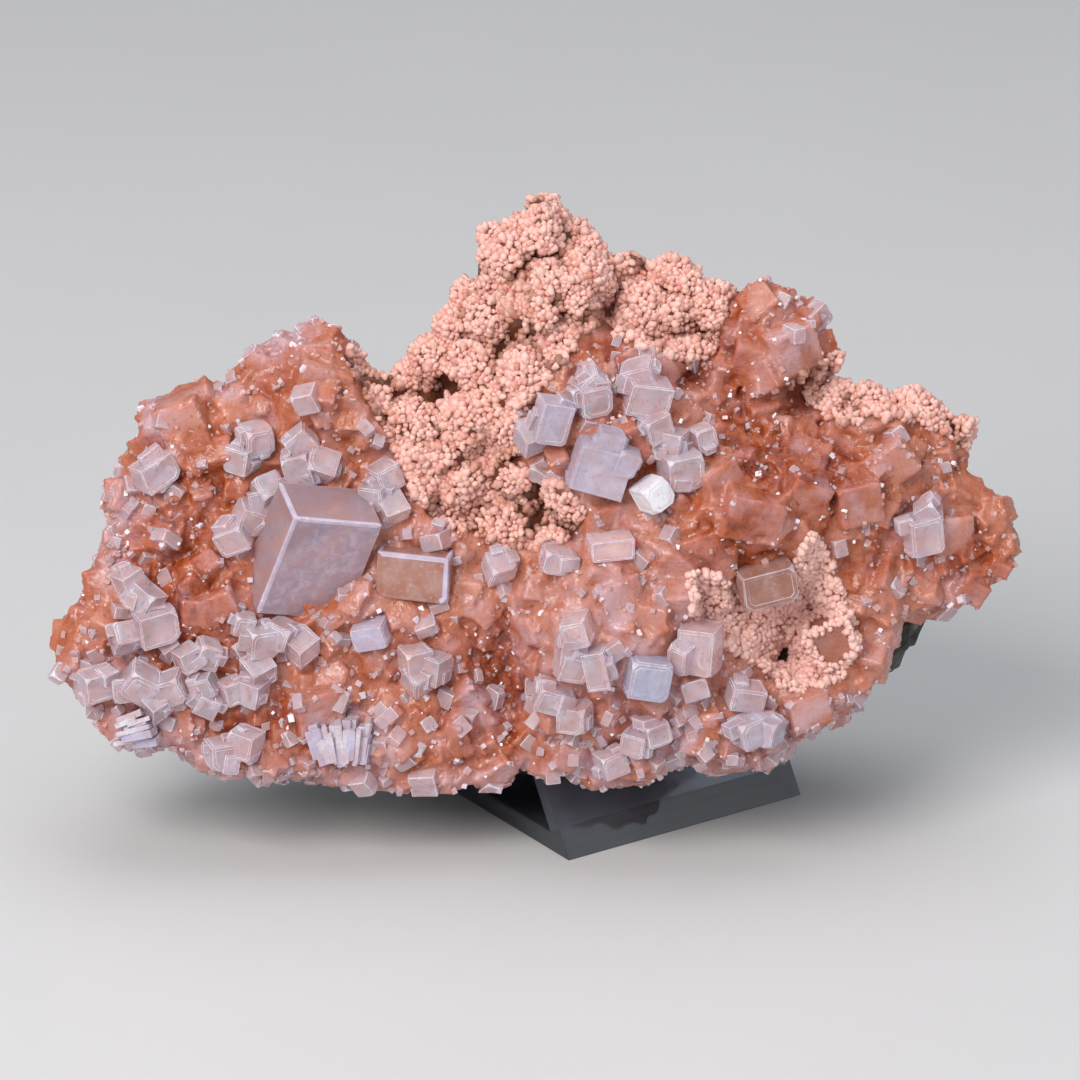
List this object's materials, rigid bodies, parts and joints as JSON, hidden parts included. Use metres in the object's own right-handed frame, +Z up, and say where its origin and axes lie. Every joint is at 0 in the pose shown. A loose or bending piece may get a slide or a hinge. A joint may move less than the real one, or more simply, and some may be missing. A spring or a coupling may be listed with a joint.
{
  "type": "mineral specimen on stand",
  "caption": "Apophyllite mineral specimen: clear pseudo-cubic crystals on a peach druse with pink grained crust over dark basalt, leaning back on a small clear acrylic channel stand.",
  "frame": {"origin": "middle of the underside of the acrylic stand's foot, on the surface it stands on", "axes": "+Z up; +X to the right along the length of the specimen; -Y towards the viewer, the way its crystal face looks"},
  "size_m": [0.165, 0.0784, 0.11],
  "materials": {
    "basalt": "rough grey-green rock",
    "peach_crystal": "waxy, slightly translucent, glinting",
    "pink_grains": "dull sugary grains",
    "clear_crystal": "clear to milky with frosted edges",
    "acrylic": "clear, polished, slightly smoky"
  },
  "bodies": {
    "root": {"basalt_matrix": "basalt", "peach_druse": "peach_crystal", "pink_crust_peak": "pink_grains", "pink_crust_upper_right": "pink_grains", "pink_crust_right_rim": "pink_grains", "pink_crust_pocket": "pink_grains", "large_apophyllite_crystal": "clear_crystal", "embedded_slab_crystal": "clear_crystal", "crystals_left_of_large": "clear_crystal", "fan_crystals_over_large": "clear_crystal", "crystal_pair_upper_left": "clear_crystal", "crystals_right_of_large": "clear_crystal", "slab_crystal_left_shoulder": "clear_crystal", "crystal_chain_left": "clear_crystal", "crystals_below_large": "clear_crystal", "crystal_row_lower_left": "clear_crystal", "crystals_left_slope": "clear_crystal", "bright_crystals_lower_left": "clear_crystal", "crystals_lower_slope": "clear_crystal", "white_blade_crystals": "clear_crystal", "crystals_at_left_foot": "clear_crystal", "white_fan_crystal": "clear_crystal", "crystal_cluster_by_groove": "clear_crystal", "milky_crystal_left_centre": "clear_crystal", "crystals_beside_peak": "clear_crystal", "crystal_pair_ridge_left": "clear_crystal", "crystal_pair_ridge_top": "clear_crystal", "crystals_ridge_right": "clear_crystal", "small_crystal_ridge_end": "clear_crystal", "stepped_slab_crystal": "clear_crystal", "white_rhomb_crystal": "clear_crystal", "long_crystal_centre": "clear_crystal", "crystal_centre": "clear_crystal", "crystal_below_peak": "clear_crystal", "prism_crystals_lower_centre": "clear_crystal", "pale_blue_crystal": "clear_crystal", "clear_crystal_over_pocket": "clear_crystal", "crystal_pair_low_centre": "clear_crystal", "crystals_above_foot": "clear_crystal", "crystal_at_foot": "clear_crystal", "slab_crystal_under_tongue": "clear_crystal", "crystal_below_pocket": "clear_crystal", "whitish_cluster_lower_right": "clear_crystal", "peach_crystal_beside_pocket": "peach_crystal", "crystals_right_lobe": "clear_crystal", "acrylic_stand": "acrylic"}
  },
  "joints": []
}
